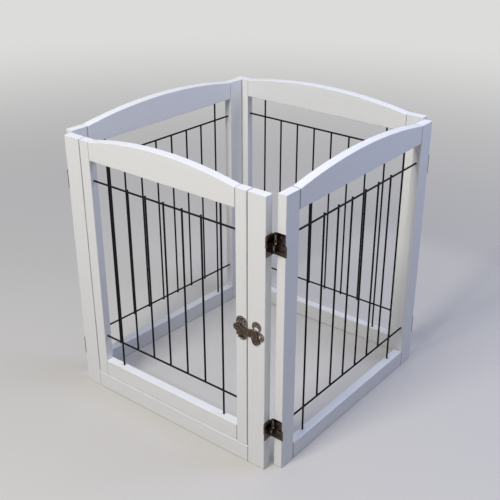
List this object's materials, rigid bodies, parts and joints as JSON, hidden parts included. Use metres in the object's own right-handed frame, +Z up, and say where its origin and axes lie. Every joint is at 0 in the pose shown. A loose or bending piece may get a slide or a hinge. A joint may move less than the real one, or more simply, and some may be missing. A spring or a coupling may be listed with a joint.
{
  "type": "folding pet gate",
  "caption": "Free-standing folding pet gate of arched white wooden panels with wire grilles, hinged corners and a walk-through door with a lift latch.",
  "frame": {"origin": "on the floor, under the middle of the front panel's thickness and width", "axes": "+Z up; +Y from the front panel into the pen; +X along the front panel towards the latch side"},
  "size_m": [0.565, 0.5575, 0.61],
  "materials": {
    "white_wood": "white satin paint over softwood",
    "black_wire": "black satin powder coat over steel wire",
    "bronze_hardware": "dark antique bronze over steel",
    "bare_wood": "unpainted beech"
  },
  "bodies": {
    "front_panel": {"front_stile_left": "white_wood", "front_stile_right": "white_wood", "front_bottom_rail": "white_wood", "front_dowels": "bare_wood", "front_screws": "bronze_hardware", "door_hinge_frame_leaves": "bronze_hardware", "door_hinge_pins": "bronze_hardware", "latch_lever_plate": "bronze_hardware", "latch_rivet": "bronze_hardware", "near_hinge_front_leaves": "bronze_hardware", "near_hinge_front_links": "bronze_hardware", "left_hinge_front_leaves": "bronze_hardware", "front_hinge_pins": "bronze_hardware"},
    "door": {"door_stile_hinge_side": "white_wood", "door_stile_latch_side": "white_wood", "door_top_rail": "white_wood", "door_bottom_rail": "white_wood", "door_grille": "black_wire", "door_dowels": "bare_wood", "door_screws": "bronze_hardware", "door_hinge_door_leaves": "bronze_hardware", "latch_catch_plate": "bronze_hardware"},
    "latch_lever": {"latch_lever": "bronze_hardware"},
    "right_panel": {"right_stile_near": "white_wood", "right_stile_far": "white_wood", "right_top_rail": "white_wood", "right_bottom_rail": "white_wood", "right_grille": "black_wire", "right_dowels": "bare_wood", "right_screws": "bronze_hardware", "near_hinge_right_leaves": "bronze_hardware", "near_hinge_right_links": "bronze_hardware", "far_hinge_right_leaves": "bronze_hardware", "right_hinge_pins": "bronze_hardware"},
    "back_panel": {"back_stile_near": "white_wood", "back_stile_far": "white_wood", "back_top_rail": "white_wood", "back_bottom_rail": "white_wood", "back_grille": "black_wire", "back_dowels": "bare_wood", "back_screws": "bronze_hardware", "far_hinge_back_leaves": "bronze_hardware"},
    "left_panel": {"left_stile_near": "white_wood", "left_stile_far": "white_wood", "left_top_rail": "white_wood", "left_bottom_rail": "white_wood", "left_grille": "black_wire", "left_dowels": "bare_wood", "left_screws": "bronze_hardware", "left_hinge_left_leaves": "bronze_hardware"}
  },
  "joints": [
    {"name": "door_swing", "type": "hinge", "parent": "front_panel", "child": "door", "pos_m": [-0.2098, 0.0127, 0.3], "axis": [0, 0, 1], "range_deg": [0, 90]},
    {"name": "latch_lift", "type": "hinge", "parent": "front_panel", "child": "latch_lever", "pos_m": [0.227, -0.0124, 0.303], "axis": [0, 1, 0], "range_deg": [-3.7, 75]},
    {"name": "near_corner_fold", "type": "hinge", "parent": "front_panel", "child": "right_panel", "pos_m": [0.254, 0.0125, 0.3], "axis": [0, 0, -1], "range_deg": [0, 88.5]},
    {"name": "right_corner_fold", "type": "hinge", "parent": "right_panel", "child": "back_panel", "pos_m": [0.2673, 0.52033, 0.3], "axis": [0, 0, -1], "range_deg": [0, 92]},
    {"name": "left_corner_fold", "type": "hinge", "parent": "front_panel", "child": "left_panel", "pos_m": [-0.254, 0.0125, 0.3], "axis": [0, 0, 1], "range_deg": [-85.2, 94.8]}
  ]
}
